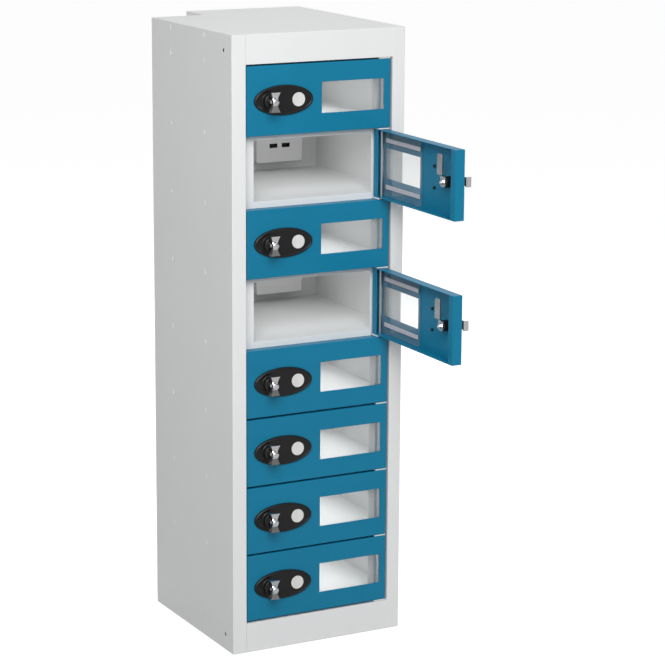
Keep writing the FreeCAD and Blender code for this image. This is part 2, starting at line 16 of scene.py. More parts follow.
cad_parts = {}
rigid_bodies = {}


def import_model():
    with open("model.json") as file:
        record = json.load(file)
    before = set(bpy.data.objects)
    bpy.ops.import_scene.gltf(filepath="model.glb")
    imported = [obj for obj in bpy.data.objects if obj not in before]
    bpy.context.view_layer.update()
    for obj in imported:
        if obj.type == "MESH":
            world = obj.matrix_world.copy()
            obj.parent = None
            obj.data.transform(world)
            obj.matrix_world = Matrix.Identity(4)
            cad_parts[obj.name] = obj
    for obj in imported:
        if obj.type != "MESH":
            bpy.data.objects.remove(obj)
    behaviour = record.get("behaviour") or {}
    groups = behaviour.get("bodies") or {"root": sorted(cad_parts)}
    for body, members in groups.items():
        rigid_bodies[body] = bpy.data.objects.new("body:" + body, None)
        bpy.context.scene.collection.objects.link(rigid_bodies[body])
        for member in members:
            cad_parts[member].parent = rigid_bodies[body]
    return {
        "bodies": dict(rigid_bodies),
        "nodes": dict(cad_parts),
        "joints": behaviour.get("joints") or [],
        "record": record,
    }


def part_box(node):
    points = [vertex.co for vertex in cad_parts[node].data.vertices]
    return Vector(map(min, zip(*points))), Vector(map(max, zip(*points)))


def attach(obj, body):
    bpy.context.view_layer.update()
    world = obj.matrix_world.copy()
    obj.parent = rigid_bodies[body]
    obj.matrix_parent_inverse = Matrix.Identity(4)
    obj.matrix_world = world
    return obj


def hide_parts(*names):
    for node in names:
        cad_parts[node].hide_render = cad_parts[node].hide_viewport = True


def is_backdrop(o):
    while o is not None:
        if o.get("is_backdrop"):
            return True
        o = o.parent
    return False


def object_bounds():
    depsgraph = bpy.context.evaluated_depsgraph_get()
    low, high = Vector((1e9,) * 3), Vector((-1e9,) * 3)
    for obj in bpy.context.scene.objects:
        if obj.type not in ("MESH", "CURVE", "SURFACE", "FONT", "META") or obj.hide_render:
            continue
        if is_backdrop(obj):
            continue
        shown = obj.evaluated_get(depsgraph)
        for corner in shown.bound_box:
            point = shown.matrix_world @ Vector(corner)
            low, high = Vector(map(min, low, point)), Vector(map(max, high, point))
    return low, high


LOG = logging.getLogger("locker")
MILLIMETRE = 0.001
SHARP = math.radians(35)
FLAT = math.radians(0.1)
TOUCHING = 1e-6
NEAR = 1e-5
X, Y, Z = range(3)
FACING_FRONT = Matrix.Rotation(math.radians(90), 4, "X")
PATTERN_MIDDLE = (0.3, 0.7)
FIRST_BOUNCE = 0.5
WHITE = (1.0, 1.0, 1.0, 1.0)

Piece = bpy.types.Object
Socket = bpy.types.NodeSocket
Ends = Callable[[Vector, Vector], bool]
Pair = tuple[float, float]
Triple = tuple[float, float, float]
Colour = tuple[float, float, float, float]


def mm(length: float) -> float:
    """Length in metres of a length in millimetres."""
    return length * MILLIMETRE


def paint(red: int, green: int, blue: int) -> Colour:
    """Turns a colour as seen on a screen into the linear colour that a shader takes.

    Args:
        red, green, blue: Levels from 0 to 255.

    Returns:
        Linear red, green, blue and an alpha of 1.
    """
    def linear(level: int) -> float:
        """Linear value of one level, by the sRGB curve."""
        share = level / 255
        return share / 12.92 if share <= 0.04045 else ((share + 0.055) / 1.055) ** 2.4

    return (linear(red), linear(green), linear(blue), 1.0)


class Slot(Enum):
    """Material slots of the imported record."""

    CABINET_PAINT = "cabinet_paint"
    DOOR_PAINT = "door_paint"
    CLEAR_ACRYLIC = "clear_acrylic"
    BLACK_PLASTIC = "black_plastic"
    POLISHED_CHROME = "polished_chrome"
    PLATED_STEEL = "plated_steel"
    SOCKET_PLASTIC = "socket_plastic"
    TAP_PLASTIC = "tap_plastic"
    CABLE_JACKET = "cable_jacket"


class Facets(IntEnum):
    """Facets across a rounding, by what it rounds."""

    CHAMFER = 1
    EDGE = 2
    BEND = 3
    RIM = 4
    CORNER = 5
    END = 6


# Modelling steps


def activate(piece: Piece) -> None:
    """Makes a piece the active object and the only selected one.

    Args:
        piece: Object to work on next.
    """
    bpy.ops.object.select_all(action="DESELECT")
    piece.select_set(True)
    bpy.context.view_layer.objects.active = piece


def added(name: str, operator: Callable[..., set[str]], **settings: object) -> Piece:
    """Adds an object with nothing else selected, and names it.

    Args:
        name: Name of the object and its data.
        operator: Blender's operator that adds it.
        **settings: What the operator is given.

    Returns:
        The object.
    """
    bpy.ops.object.select_all(action="DESELECT")
    operator(**settings)
    piece = bpy.context.object
    piece.name = piece.data.name = name
    return piece


@contextmanager
def editing(piece: Piece, mode: str = "EDGE") -> Iterator[None]:
    """Opens a piece in edit mode with nothing selected, and closes it again.

    Args:
        piece: Mesh object to work on.
        mode: VERT, EDGE or FACE, what is selected there.
    """
    activate(piece)
    bpy.ops.object.mode_set(mode="EDIT")
    bpy.ops.mesh.select_mode(type=mode)
    bpy.ops.mesh.select_all(action="DESELECT")
    yield
    bpy.ops.object.mode_set(mode="OBJECT")


def both_at(first: Vector, second: Vector, axis: int, *bounds: float) -> bool:
    """Says whether both ends of an edge lie at the same one of some bounds along an axis."""
    return any(max(abs(first[axis] - bound), abs(second[axis] - bound)) < TOUCHING for bound in bounds)


def on_box_edge(first: Vector, second: Vector, low: Vector, high: Vector) -> bool:
    """Says whether an edge runs along an edge of the box between two corners."""
    return sum(both_at(first, second, axis, low[axis], high[axis]) for axis in (X, Y, Z)) >= 2


def on_end(first: Vector, second: Vector, low: Vector, high: Vector) -> bool:
    """Says whether an edge runs from front to back at the left or right end of a box."""
    return abs(first.y - second.y) > TOUCHING and both_at(first, second, X, low.x, high.x)


def choose_edges(piece: Piece, test: Ends) -> int:
    """Selects the sharp edges of a piece in edit mode by where their ends lie.

    Args:
        piece: Mesh object in edit mode.
        test: Says of an edge's two ends whether it is wanted.

    Returns:
        How many edges were selected.
    """
    shape = bmesh.from_edit_mesh(piece.data)
    chosen = [
        edge for edge in shape.edges
        if edge.calc_face_angle(0.0) > SHARP and test(*(corner.co for corner in edge.verts))
    ]
    for edge in chosen:
        edge.select_set(True)
    bmesh.update_edit_mesh(piece.data)
    return len(chosen)


def round_edges(piece: Piece, radius: float, facets: Facets, test: Ends = lambda a, b: True) -> Piece:
    """Rounds the sharp edges of a piece that pass a test.

    Args:
        piece: Mesh object to round.
        radius: How far the rounding reaches from the edge, in metres.
        facets: Facets across the rounding.
        test: Says of an edge's two ends whether it is rounded.

    Returns:
        The same piece.
    """
    with editing(piece):
        if choose_edges(piece, test):
            bpy.ops.mesh.bevel(
                offset=radius, segments=int(facets), affect="EDGES", clamp_overlap=True, loop_slide=False)
    return piece


def apply_modifier(piece: Piece, modifier: bpy.types.Modifier) -> None:
    """Applies one modifier of a piece to its mesh."""
    activate(piece)
    bpy.ops.object.modifier_apply(modifier=modifier.name)


def combine(piece: Piece, tool: Piece, operation: str) -> Piece:
    """Joins a tool to a piece or cuts it away, and removes the tool.

    Args:
        piece: Mesh object that stays.
        tool: Closed mesh object that is used up.
        operation: UNION or DIFFERENCE.

    Returns:
        The changed piece.
    """
    modifier = piece.modifiers.new("shape", "BOOLEAN")
    modifier.object = tool
    modifier.operation = operation
    modifier.solver = "EXACT"
    apply_modifier(piece, modifier)
    bpy.data.objects.remove(tool)
    return piece


def join(pieces: Sequence[Piece]) -> Piece:
    """Makes several mesh objects one object, under the first one's name.

    Args:
        pieces: Mesh objects to join.

    Returns:
        The first piece, which now holds them all.
    """
    bpy.ops.object.select_all(action="DESELECT")
    for piece in pieces:
        piece.select_set(True)
    bpy.context.view_layer.objects.active = pieces[0]
    bpy.ops.object.join()
    return pieces[0]


def smooth(piece: Piece) -> Piece:
    """Shades a piece smoothly over its roundings, with its flat faces kept flat.

    Args:
        piece: Mesh object to shade.

    Returns:
        The same piece.
    """
    activate(piece)
    bpy.ops.object.shade_smooth_by_angle(angle=SHARP)
    normals = piece.modifiers.new("normals", "WEIGHTED_NORMAL")
    normals.keep_sharp = True
    apply_modifier(piece, normals)
    return piece


def settle(piece: Piece, matrix: Matrix) -> Piece:
    """Moves a piece by changing its mesh, so that its object stays at the origin.

    Args:
        piece: Mesh object to move.
        matrix: The move.

    Returns:
        The same piece.
    """
    piece.data.transform(matrix)
    piece.data.update()
    return piece


def duplicate(piece: Piece, name: str, matrix: Matrix) -> Piece:
    """Copies a piece with a mesh of its own and sets the copy in place.

    Args:
        piece: Piece to copy.
        name: Name of the copy.
        matrix: Where the copy goes, from the place of the original.

    Returns:
        The copy.
    """
    twin = bpy.data.objects.new(name, piece.data.copy())
    twin.data.name = name
    bpy.context.scene.collection.objects.link(twin)
    return settle(twin, matrix)


def block(name: str, low: Vector, high: Vector) -> Piece:
    """Adds a box between two corners, with its place in its mesh.

    Args:
        name: Name of the box.
        low: Its lowest corner.
        high: Its highest corner.

    Returns:
        The box.
    """
    piece = added(name, bpy.ops.mesh.primitive_cube_add, size=1)
    return settle(piece, Matrix.Translation((low + high) / 2) @ Matrix.Diagonal((*(high - low), 1)))


@dataclass(frozen=True)
class Ring:
    """One step of a round or oval form: its half sizes and its height."""

    across: float
    along: float
    height: float


def rounds(*steps: Pair) -> list[Ring]:
    """Rings of a round form, from pairs of radius and height in millimetres."""
    return [Ring(mm(radius), mm(radius), mm(height)) for radius, height in steps]


def raise_rings(name: str, rings: Sequence[Ring], sides: int) -> Piece:
    """Builds a closed form up from a flat disc, ring by ring along +Z.

    Args:
        name: Name of the form.
        rings: Its steps from the bottom up.
        sides: Corners of each ring.

    Returns:
        The form, standing on the origin.
    """
    first = rings[0]
    piece = added(name, bpy.ops.mesh.primitive_circle_add, vertices=sides, radius=1, fill_type="NGON")
    foot = Matrix.Diagonal((first.across, first.along, 1, 1))
    settle(piece, Matrix.Translation((0, 0, first.height)) @ foot)
    with editing(piece, "FACE"):
        bpy.ops.mesh.select_all(action="SELECT")
        for lower, upper in pairwise(rings):
            rise = (0, 0, upper.height - lower.height)
            bpy.ops.mesh.extrude_region_move(TRANSFORM_OT_translate={"value": rise})
            bpy.ops.transform.resize(
                value=(upper.across / lower.across, upper.along / lower.along, 1),
                center_override=(0, 0, upper.height),
            )
        bpy.ops.mesh.select_all(action="SELECT")
        bpy.ops.mesh.normals_make_consistent(inside=False)
    return piece


# Finishes


class Wiring:
    """Node tree of one new material, with short ways to add and join its nodes."""

    def __init__(self, name: str) -> None:
        """Makes an empty material.

        Args:
            name: Name of the material.
        """
        self.material = bpy.data.materials.new(name)
        self.material.use_nodes = True
        self.tree = self.material.node_tree
        self.tree.nodes.clear()
        self.place = self.add("ShaderNodeTexCoord").outputs["Object"]
        self.output = self.add("ShaderNodeOutputMaterial")

    @classmethod
    def of_tree(cls, tree: bpy.types.NodeTree) -> "Wiring":
        """Takes over a node tree that exists, such as the world's, and empties it.

        Args:
            tree: The node tree.

        Returns:
            Its wiring, without a material.
        """
        wiring = cls.__new__(cls)
        wiring.tree = tree
        tree.nodes.clear()
        return wiring

    def add(self, kind: str, values: dict[str | int, object] | None = None,
            **settings: object) -> bpy.types.Node:
        """Adds a node.

        Args:
            kind: Blender's name of the node type.
            values: What its inputs take, by their name or number: a value, or another node's output.
            **settings: Properties of the node itself.

        Returns:
            The node.
        """
        node = self.tree.nodes.new(kind)
        for name, value in settings.items():
            setattr(node, name, value)
        for name, value in (values or {}).items():
            if isinstance(value, Socket):
                self.tree.links.new(value, node.inputs[name])
            else:
                node.inputs[name].default_value = value
        return node

    def show(self, shader: Socket) -> bpy.types.Material:
        """Joins a shader to the material's output, and gives the finished material."""
        self.tree.links.new(shader, self.output.inputs["Surface"])
        return self.material

    def calculate(self, operation: str, first: Socket | float, second: Socket | float) -> Socket:
        """Result of a calculation with two values."""
        return self.add("ShaderNodeMath", {0: first, 1: second}, operation=operation).outputs["Value"]

    def mix(self, factor: Socket, none: Socket | float, full: Socket | float) -> Socket:
        """Value between two others, by a factor from 0 to 1."""
        return self.add("ShaderNodeMix", {"Factor": factor, "A": none, "B": full}).outputs["Result"]

    def stretched(self, scale: Triple) -> Socket:
        """Object coordinates stretched by a factor along each axis."""
        return self.add("ShaderNodeMapping", {"Scale": scale, "Vector": self.place}).outputs["Vector"]

    def noise(self, scale: float, detail: float, place: Socket) -> Socket:
        """Cloudy pattern, about 0.5 on average.

        Args:
            scale: Features in a metre.
            detail: Octaves of finer features.
            place: Coordinates that it lies on.

        Returns:
            Its value.
        """
        node = self.add("ShaderNodeTexNoise", {"Scale": scale, "Detail": detail, "Vector": place})
        return node.outputs["Fac"]

    def spread(self, value: Socket, low: float, high: float) -> Socket:
        """Stretches the middle of a pattern over a range of values.

        Args:
            value: The pattern.
            low: Value at the low end of its middle.
            high: Value at the high end.

        Returns:
            The stretched value.
        """
        start, end = PATTERN_MIDDLE
        node = self.add("ShaderNodeMapRange", {
            "Value": value, "From Min": start, "From Max": end, "To Min": low, "To Max": high,
        })
        return node.outputs["Result"]

    def tones(self, value: Socket, dark: Sequence[float], light: Sequence[float]) -> Socket:
        """Runs a pattern from a dark colour to a light one.

        Args:
            value: The pattern.
            dark: Colour where it is low.
            light: Colour where it is high.

        Returns:
            The colour.
        """
        ramp = self.add("ShaderNodeValToRGB", {"Fac": value})
        for end, position, colour in zip(ramp.color_ramp.elements, PATTERN_MIDDLE, (dark, light)):
            end.position, end.color = position, colour
        return ramp.outputs["Color"]

    def bump(self, value: Socket, strength: float, depth: float) -> Socket:
        """Normal that follows a pattern as relief.

        Args:
            value: Height pattern.
            strength: Share of the relief that shows.
            depth: Height of the relief in metres.

        Returns:
            The normal.
        """
        node = self.add("ShaderNodeBump", {"Strength": strength, "Distance": depth, "Height": value})
        return node.outputs["Normal"]


def grey(level: float) -> Colour:
    """Neutral colour of a linear level."""
    return (level, level, level, 1.0)


def tinted(colour: Sequence[float], factor: float) -> tuple[float, ...]:
    """A colour made lighter or darker by a factor, with its alpha kept."""
    return (*(min(channel * factor, 1.0) for channel in colour[:3]), colour[3])


@dataclass(frozen=True)
class Coat:
    """What the surface of a piece is made of."""

    name: str
    slot: Slot

    def material(self) -> bpy.types.Material:
        """Material of this coat, made once."""
        return bpy.data.materials.get(self.name) or self.make()

    def make(self) -> bpy.types.Material:
        """Builds the material's nodes."""
        raise NotImplementedError


@dataclass(frozen=True)
class Finish(Coat):
    """Coloured surface with a soft change of tone, an uneven gloss and a fine relief."""

    colour: Colour
    roughness: float
    tone_spread: float = 0.03
    tone_scale: float = 9.0
    tone_detail: float = 3.0
    gloss_spread: float = 0.05
    grain_scale: float = 900.0
    grain_detail: float = 2.0
    grain_depth: float = mm(0.03)
    grain_strength: float = 0.25
    metallic: float = 0.0
    specular: float = 0.5
    stretch: Triple = (1.0, 1.0, 1.0)

    def make(self) -> bpy.types.Material:
        """Builds the material's nodes.

        Returns:
            The material.
        """
        wiring = Wiring(self.name)
        place = wiring.stretched(self.stretch)
        cloud = wiring.noise(self.tone_scale, self.tone_detail, place)
        grain = wiring.noise(self.grain_scale, self.grain_detail, place)
        dark, light = (tinted(self.colour, 1 + change) for change in (-self.tone_spread, self.tone_spread))
        gloss = (self.roughness - self.gloss_spread, self.roughness + self.gloss_spread)
        shader = wiring.add("ShaderNodeBsdfPrincipled", {
            "Base Color": wiring.tones(cloud, dark, light),
            "Metallic": self.metallic,
            "Specular IOR Level": self.specular,
            "Roughness": wiring.spread(grain, *gloss),
            "Normal": wiring.bump(grain, self.grain_strength, self.grain_depth),
        })
        return wiring.show(shader.outputs["BSDF"])


@dataclass(frozen=True)
class ClearSheet(Coat):
    """Polished clear sheet with faint wipe marks and a slight haze, which lets the lamps through."""

    tint: Colour
    refraction: float = 1.49
    clearness: float = 0.9
    shade: Colour = paint(142, 144, 146)
    gloss: Pair = (0.0, 0.05)
    wipe_scale: float = 14.0
    wipe_detail: float = 4.0
    wipe_stretch: Triple = (1.0, 1.0, 5.0)

    def make(self) -> bpy.types.Material:
        """Builds the material's nodes.

        Returns:
            The material.
        """
        wiring = Wiring(self.name)
        wipes = wiring.noise(self.wipe_scale, self.wipe_detail, wiring.stretched(self.wipe_stretch))
        sheet = wiring.add("ShaderNodeBsdfPrincipled", {
            "Base Color": self.tint,
            "Transmission Weight": self.clearness,
            "IOR": self.refraction,
            "Roughness": wiring.spread(wipes, *self.gloss),
        })
        shaded = wiring.add("ShaderNodeBsdfTransparent", {"Color": self.shade})
        choice = wiring.add("ShaderNodeMixShader", {
            "Fac": wiring.add("ShaderNodeLightPath").outputs["Is Shadow Ray"],
            1: sheet.outputs["BSDF"],
            2: shaded.outputs["BSDF"],
        })
        return wiring.show(choice.outputs["Shader"])


CABINET_PAINT = Finish("cabinet_powder_coat", Slot.CABINET_PAINT, paint(234, 235, 235), 0.46,
                       tone_spread=0.012, tone_scale=4.0, grain_scale=700.0, grain_depth=mm(0.02))
DOOR_PAINT = Finish("door_powder_coat", Slot.DOOR_PAINT, paint(13, 122, 158), 0.38, specular=0.28,
                    tone_spread=0.03, tone_scale=7.0, grain_scale=750.0, grain_depth=mm(0.02))
BLACK_PLASTIC = Finish("lock_plate_plastic", Slot.BLACK_PLASTIC, paint(21, 20, 20), 0.34, specular=0.4,
                       tone_spread=0.12, tone_scale=40.0, grain_scale=2600.0, grain_depth=mm(0.015))
DISC_METAL = Finish("number_disc_metal", Slot.PLATED_STEEL, paint(224, 224, 222), 0.42,
                    tone_spread=0.05, tone_scale=160.0, grain_scale=900.0, grain_depth=mm(0.01),
                    stretch=(1.0, 1.0, 0.08))
CHROME = Finish("turn_chrome", Slot.POLISHED_CHROME, paint(226, 226, 228), 0.12, metallic=1.0,
                tone_spread=0.03, tone_scale=120.0, gloss_spread=0.03, grain_scale=500.0,
                grain_depth=mm(0.01))
ZINC = Finish("zinc_plate", Slot.PLATED_STEEL, paint(206, 207, 208), 0.3, metallic=1.0,
              tone_spread=0.08, tone_scale=260.0, gloss_spread=0.08, grain_scale=1800.0, grain_depth=mm(0.01))
ROD_STEEL = Finish("rod_steel", Slot.PLATED_STEEL, paint(158, 166, 172), 0.42, metallic=1.0,
                   tone_spread=0.06, tone_scale=200.0, grain_scale=1800.0, grain_depth=mm(0.01))
STRIP_GREY = Finish("holding_strip", Slot.CABINET_PAINT, paint(196, 196, 204), 0.5,
                    tone_spread=0.03, tone_scale=60.0, grain_scale=1200.0)
SOCKET_WHITE = Finish("socket_moulding", Slot.SOCKET_PLASTIC, paint(228, 228, 226), 0.26,
                      tone_spread=0.01, tone_scale=30.0, grain_scale=1500.0, grain_depth=mm(0.008))
PORT_BLACK = Finish("port_moulding", Slot.BLACK_PLASTIC, paint(16, 16, 17), 0.4,
                    tone_spread=0.1, tone_scale=120.0, grain_scale=2600.0, grain_depth=mm(0.01))
TAP_GREY = Finish("tap_moulding", Slot.TAP_PLASTIC, paint(150, 152, 155), 0.42,
                  tone_spread=0.03, tone_scale=60.0, grain_scale=2000.0)
CABLE_BLACK = Finish("cable_rubber", Slot.CABLE_JACKET, paint(34, 34, 35), 0.55,
                     tone_spread=0.1, tone_scale=80.0, grain_scale=1600.0)
ACRYLIC = ClearSheet("clear_pane", Slot.CLEAR_ACRYLIC, paint(248, 250, 250))


# The frame and its pieces


class Locker:
    """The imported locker: its nodes, joints and the pieces that dress it."""

    def __init__(self) -> None:
        """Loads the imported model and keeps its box."""
        self.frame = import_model()
        self.cad_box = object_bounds()
        self.joints = {joint["name"]: joint for joint in self.frame["joints"]}
        self.doors = sorted(int(name.split("_")[1]) for name in self.joints if name.endswith("_hinge"))

    def copy_node(self, node: str) -> Piece:
        """Copies a node's mesh with its loose triangles merged into whole faces.

        Args:
            node: Name of the node.

        Returns:
            The copy, without a material.
        """
        name = f"{node}_formed"
        piece = bpy.data.objects.new(name, self.frame["nodes"][node].data.copy())
        piece.data.name = name
        piece.data.materials.clear()
        bpy.context.scene.collection.objects.link(piece)
        with editing(piece, "VERT"):
            bpy.ops.mesh.select_all(action="SELECT")
            bpy.ops.mesh.customdata_custom_splitnormals_clear()
            bpy.ops.mesh.remove_doubles(threshold=TOUCHING)
            bpy.ops.mesh.dissolve_limited(angle_limit=FLAT)
        return piece

    def dress(self, piece: Piece, finish: Coat, body: str, *nodes: str) -> Piece:
        """Gives a finished piece its material and body, and hides the nodes that it takes the place of.

        Args:
            piece: Finished mesh object.
            finish: Its surface.
            body: Body that it moves with.
            *nodes: Nodes that it takes the place of.

        Returns:
            The piece.
        """
        piece.data.materials.clear()
        piece.data.materials.append(finish.material())
        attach(piece, body)
        if nodes:
            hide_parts(*nodes)
        LOG.info("%s: %d faces, rides %s", piece.name, len(piece.data.polygons), body)
        return piece

    def soften(self, node: str, finish: Coat, radius: float, facets: Facets = Facets.EDGE,
               test: Ends = lambda a, b: True) -> None:
        """Rounds the edges of a copy of a cabinet node and dresses it in the node's place.

        Args:
            node: Name of the node.
            finish: Its surface.
            radius: How far the rounding reaches from an edge, in metres.
            facets: Facets across the rounding.
            test: Says of an edge's two ends whether it is rounded.
        """
        piece = round_edges(self.copy_node(node), radius, facets, test)
        self.dress(smooth(piece), finish, "cabinet", node)

    def door_turn(self, door: int) -> Matrix:
        """Takes a piece of the first door, closed, to where another door stands at rest.

        Args:
            door: Number of the door.

        Returns:
            The move.
        """
        hinge = self.joints[f"door_{door}_hinge"]
        first = self.joints[f"door_{self.doors[0]}_hinge"]
        axis = Vector(hinge["pos_m"])
        opened = Matrix.Rotation(-math.radians(hinge["range_deg"][0]), 4, Vector(hinge["axis"]))
        return Matrix.Translation(axis) @ opened @ Matrix.Translation(-Vector(first["pos_m"]))

    def lock_turn(self, door: int) -> Matrix:
        """Takes a turning piece of the first lock to where another door's lock rests.

        Args:
            door: Number of the door.

        Returns:
            The move.
        """
        first = self.joints[f"lock_{self.doors[0]}_turn"]
        lowest = self.joints[f"lock_{door}_turn"]["range_deg"][0]
        spindle = Matrix.Translation(Vector(first["pos_m"]))
        turned = Matrix.Rotation(-math.radians(lowest), 4, Vector(first["axis"]))
        return self.door_turn(door) @ spindle @ turned @ spindle.inverted()


@dataclass
class CabinetShell:
    """Folded and welded sheets of the cabinet, with their bends and weld dimples."""

    locker: Locker
    bend_radius: float = mm(0.9)
    edge_radius: float = mm(0.3)
    dimple_width: float = mm(4.6)
    dimple_height: float = mm(10.0)
    dimple_depth: float = mm(0.8)
    dimple_places: Pair = (mm(98.0), mm(224.0))
    dimple_segments: int = 20
    dimple_rings: int = 12
    top_dimple_drop: float = mm(8.0)

    def outer_box(self) -> tuple[Vector, Vector]:
        """Corners of the cabinet's body without its duct.

        Returns:
            Its lowest and its highest corner.
        """
        low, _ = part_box("door_post_left")
        _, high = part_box("back_panel")
        return low, high

    def on_outer_edge(self, first: Vector, second: Vector) -> bool:
        """Says whether an edge runs along an edge of the cabinet's outer box."""
        return on_box_edge(first, second, *self.outer_box())

    def weld_levels(self) -> list[float]:
        """Heights of the weld dimples: one row per shelf and one near the top.

        Returns:
            The heights in metres.
        """
        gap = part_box("header_rail")[0].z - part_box("door_panel_1")[1].z
        rows = [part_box(f"door_panel_{door}")[0].z - gap / 2 for door in self.locker.doors]
        rows.append(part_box("door_panel_1")[1].z + gap / 2)
        return rows + [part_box("top_panel")[1].z - self.top_dimple_drop]

    def dimples(self, face: float) -> Piece:
        """Lens-shaped tools that press the weld dimples into a side panel.

        Args:
            face: X of the panel's outer face.

        Returns:
            All the tools as one object.
        """
        front = self.outer_box()[0].y
        lens = added("lens", bpy.ops.mesh.primitive_uv_sphere_add, segments=self.dimple_segments,
                     ring_count=self.dimple_rings, radius=1)
        settle(lens, Matrix.Diagonal((self.dimple_depth, self.dimple_width / 2, self.dimple_height / 2, 1)))
        tools = [
            duplicate(lens, "dimple", Matrix.Translation((face, front + depth, level)))
            for level in self.weld_levels() for depth in self.dimple_places
        ]
        bpy.data.objects.remove(lens)
        return join(tools)

    def build(self) -> None:
        """Forms and dresses every sheet of the shell."""
        for side in ("left", "right"):
            node = f"side_panel_{side}"
            low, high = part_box(node)
            face = low.x if side == "left" else high.x
            panel = combine(self.locker.copy_node(node), self.dimples(face), "DIFFERENCE")
            round_edges(panel, self.bend_radius, Facets.BEND, self.on_outer_edge)
            self.locker.dress(smooth(panel), CABINET_PAINT, "cabinet", node)
        front = self.outer_box()[0].y
        for node in ("door_post_left", "door_post_right"):
            self.locker.soften(node, CABINET_PAINT, self.bend_radius, Facets.BEND,
                               lambda a, b: both_at(a, b, Y, front))
        for node in ("back_panel", "top_panel", "base_panel", "header_rail", "plinth_rail"):
            self.locker.soften(node, CABINET_PAINT, self.bend_radius, Facets.BEND, self.on_outer_edge)
        self.locker.soften("shelves", CABINET_PAINT, self.edge_radius)


@dataclass
class HingeLine:
    """The full-height rod and the lugs between the doors that carry it."""

    locker: Locker
    edge_radius: float = mm(0.4)

    def build(self) -> None:
        """Forms and dresses the rod and the lugs."""
        self.locker.soften("hinge_rod", ROD_STEEL, self.edge_radius)
        self.locker.soften("hinge_lugs", CABINET_PAINT, self.edge_radius)


@dataclass
class Doors:
    """Folded door trays with their clear panes and holding strips."""

    locker: Locker
    bend_radius: float = mm(1.4)
    edge_radius: float = mm(0.25)
    pane_thickness: float = mm(3.0)
    pane_corner: float = mm(2.0)
    pane_edge: float = mm(0.3)
    strip_lock_lap: float = mm(0.4)
    strip_hinge_lap: float = mm(8.5)
    strip_height: float = mm(7.0)
    strip_centre: float = mm(37.6)
    strip_edge: float = mm(0.6)

    def tray(self) -> Piece:
        """The first door's tray with its bends and softened edges.

        Returns:
            The tray.
        """
        node = "door_panel_1"
        low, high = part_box(node)
        tray = self.locker.copy_node(node)

        def front_bend(first: Vector, second: Vector) -> bool:
            """Says whether an edge goes round the tray's front."""
            return both_at(first, second, Y, low.y) and any(
                both_at(first, second, axis, low[axis], high[axis]) for axis in (X, Z))

        round_edges(tray, self.bend_radius, Facets.BEND, front_bend)
        return smooth(round_edges(tray, self.edge_radius, Facets.EDGE))

    def pane(self) -> Piece:
        """The first door's clear pane with polished edges.

        Returns:
            The pane.
        """
        low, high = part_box("door_pane_1")
        pane = block("pane", low, Vector((high.x, low.y + self.pane_thickness, high.z)))
        round_edges(pane, self.pane_corner, Facets.RIM, lambda a, b: abs(a.y - b.y) > TOUCHING)
        return smooth(round_edges(pane, self.pane_edge, Facets.EDGE))

    def strip(self, upward: int) -> Piece:
        """A holding strip of the first door's pane.

        Args:
            upward: 1 for the strip above the window, -1 for the one below.

        Returns:
            The strip.
        """
        low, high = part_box("door_pane_1")
        middle = (low.z + high.z) / 2 + upward * self.strip_centre
        half = self.strip_height / 2
        strip = block(
            "strip",
            Vector((low.x + self.strip_lock_lap, low.y + self.pane_thickness, middle - half)),
            Vector((high.x - self.strip_hinge_lap, high.y, middle + half)),
        )
        return smooth(round_edges(strip, self.strip_edge, Facets.BEND))

    def build(self) -> None:
        """Forms one of each piece and sets a copy of it on every door."""
        tray, pane = self.tray(), self.pane()
        strips = {"high": self.strip(1), "low": self.strip(-1)}
        for door in self.locker.doors:
            body, move = f"door_{door}", self.locker.door_turn(door)
            own_tray = duplicate(tray, f"door_tray_{door}", move)
            self.locker.dress(own_tray, DOOR_PAINT, body, f"door_panel_{door}")
            own_pane = duplicate(pane, f"window_pane_{door}", move)
            self.locker.dress(own_pane, ACRYLIC, body, f"door_pane_{door}")
            for side, strip in strips.items():
                self.locker.dress(duplicate(strip, f"pane_strip_{side}_{door}", move), STRIP_GREY, body)
        for pattern in (tray, pane, *strips.values()):
            bpy.data.objects.remove(pattern)


